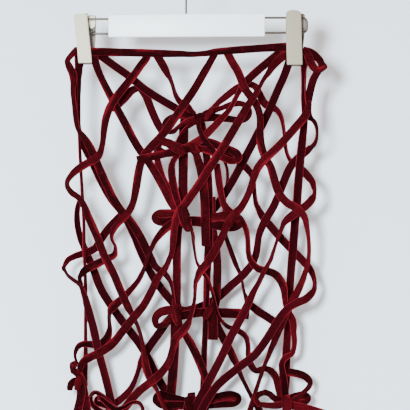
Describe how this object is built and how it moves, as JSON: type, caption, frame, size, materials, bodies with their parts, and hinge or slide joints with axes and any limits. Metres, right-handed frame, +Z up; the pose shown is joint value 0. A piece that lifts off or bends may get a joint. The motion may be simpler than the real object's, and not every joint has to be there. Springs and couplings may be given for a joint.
{
  "type": "ribbon skirt on a clip hanger",
  "caption": "Knee-length open net skirt of knotted velvet ribbon with bows, hanging flat by its waist ribbon from a plastic clip hanger with a wire hook.",
  "frame": {"origin": "inner top of the hanger's hook, where it rests on a rail", "axes": "+Z up, -Y towards the front of the skirt, +X to the right as seen from the front"},
  "size_m": [0.3961, 0.069, 0.6974],
  "materials": {
    "velvet_ribbon": "burgundy velvet with a short pile and brighter woven edges",
    "white_plastic": "smooth white moulded plastic",
    "grey_plastic": "satin light warm grey moulded plastic",
    "wire_metal": "drawn wire, dull brown-grey"
  },
  "bodies": {
    "root": {"back_cross_long": "velvet_ribbon", "back_left_fall": "velvet_ribbon", "back_left_turn": "velvet_ribbon", "back_lower_slant": "velvet_ribbon", "back_right_turn": "velvet_ribbon", "back_short_slant": "velvet_ribbon", "back_slant_left": "velvet_ribbon", "back_slant_right": "velvet_ribbon", "back_thin_fall": "velvet_ribbon", "back_top_loop": "velvet_ribbon", "bar": "white_plastic", "bow_1_loops": "velvet_ribbon", "bow_2_loops": "velvet_ribbon", "bow_2_tail": "velvet_ribbon", "bow_3_knot": "velvet_ribbon", "bow_3_loops": "velvet_ribbon", "bow_3_tail": "velvet_ribbon", "bow_4_knot": "velvet_ribbon", "bow_4_loops": "velvet_ribbon", "bow_4_tail": "velvet_ribbon", "clip_slant": "velvet_ribbon", "cross_left": "velvet_ribbon", "cross_long": "velvet_ribbon", "cross_right": "velvet_ribbon", "fall_to_middle_hem": "velvet_ribbon", "front_return": "velvet_ribbon", "hook": "wire_metal", "left_clip_back": "grey_plastic", "left_clip_front": "grey_plastic", "left_clip_hinge": "grey_plastic", "left_fall": "velvet_ribbon", "left_hem_knot": "velvet_ribbon", "left_hem_loop": "velvet_ribbon", "left_hem_tail": "velvet_ribbon", "left_opening_edge": "velvet_ribbon", "left_rail": "wire_metal", "left_return": "velvet_ribbon", "left_side": "velvet_ribbon", "long_right": "velvet_ribbon", "middle_edge": "velvet_ribbon", "middle_hem_knot": "velvet_ribbon", "middle_hem_loops": "velvet_ribbon", "right_clip_back": "grey_plastic", "right_clip_front": "grey_plastic", "right_clip_hinge": "grey_plastic", "right_fall": "velvet_ribbon", "right_hem_knot": "velvet_ribbon", "right_hem_loops": "velvet_ribbon", "right_hem_tail": "velvet_ribbon", "right_opening_edge": "velvet_ribbon", "right_rail": "wire_metal", "right_side": "velvet_ribbon", "right_top_fold": "velvet_ribbon", "slant_inner": "velvet_ribbon", "slant_left": "velvet_ribbon", "slant_lower": "velvet_ribbon", "slant_middle": "velvet_ribbon", "slant_top": "velvet_ribbon", "waist_back": "velvet_ribbon", "waist_front": "velvet_ribbon"}
  },
  "joints": []
}
